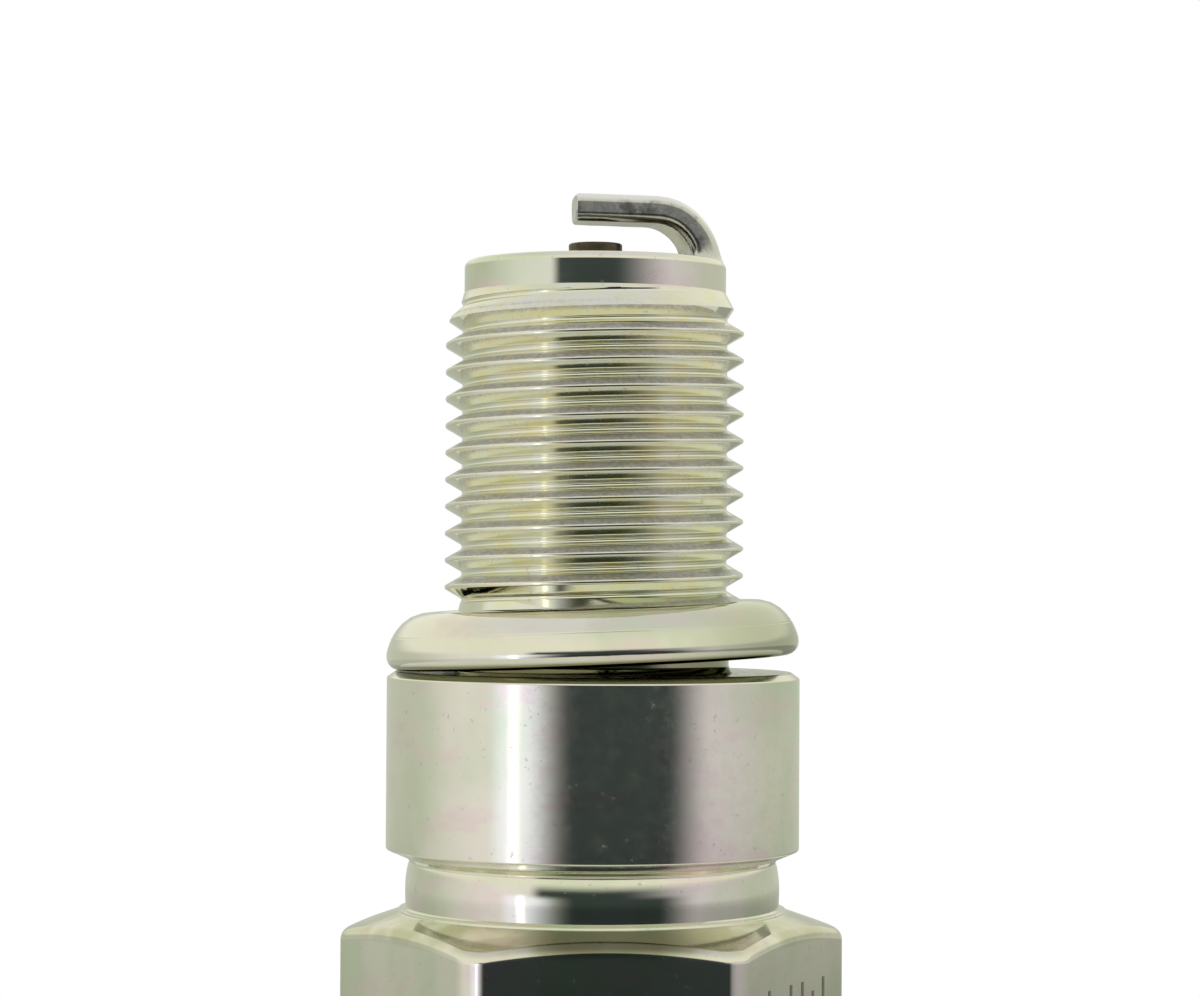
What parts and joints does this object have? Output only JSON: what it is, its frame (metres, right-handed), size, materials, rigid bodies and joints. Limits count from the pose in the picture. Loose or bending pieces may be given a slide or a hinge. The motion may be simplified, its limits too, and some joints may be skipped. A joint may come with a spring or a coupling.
{
  "type": "spark plug",
  "caption": "Threaded spark plug with hooked ground electrode, loose captive gasket ring, round collar, hexagon, crimped rim, ribbed white insulator and screw-on terminal nut.",
  "frame": {"origin": "centre of the gasket seat, the plane where the shell's collar meets the threaded neck", "axes": "+Z along the plug's axis towards the firing end, +X roughly towards the ground electrode's foot (16 degrees short of it), -Y towards the camera of the source picture"},
  "size_m": [0.0236, 0.0212, 0.0849],
  "materials": {
    "shell_plating": "bright zinc plating with a clear yellowish passivation, smooth and mirror-like on the collar and hexagon",
    "gasket_plating": "bright zinc-plated folded steel ring",
    "electrode_nickel": "drawn nickel alloy, satin",
    "core_copper": "plain copper",
    "bare_steel": "drawn steel wire and strip",
    "terminal_plating": "bright nickel plating",
    "glazed_alumina": "clear glaze over white alumina",
    "talc": "pressed powder",
    "seal_glass": "fused copper-filled glass, dull",
    "resistor_glass": "fused carbon-filled glass, matt"
  },
  "bodies": {
    "root": {"shell": "shell_plating", "ground_electrode": "electrode_nickel", "centre_electrode_jacket": "electrode_nickel", "centre_electrode_core": "core_copper", "insulator": "glazed_alumina", "insulator_seat_washer": "bare_steel", "inner_packing_ring": "bare_steel", "talc_packing": "talc", "outer_packing_ring": "bare_steel", "lower_glass_seal": "seal_glass", "resistor_element": "resistor_glass", "upper_glass_seal": "seal_glass", "terminal_stud": "terminal_plating"},
    "gasket_ring": {"gasket": "gasket_plating"},
    "nut": {"terminal_nut": "terminal_plating"}
  },
  "joints": [
    {"name": "gasket_turn", "type": "hinge", "parent": "root", "child": "gasket_ring", "pos_m": [0, 0, 0], "axis": [0, 0, 1], "continuous": true},
    {"name": "nut_unscrew", "type": "slide", "parent": "root", "child": "nut", "axis": [0, 0, -1], "range_m": [0, 0.007]}
  ]
}
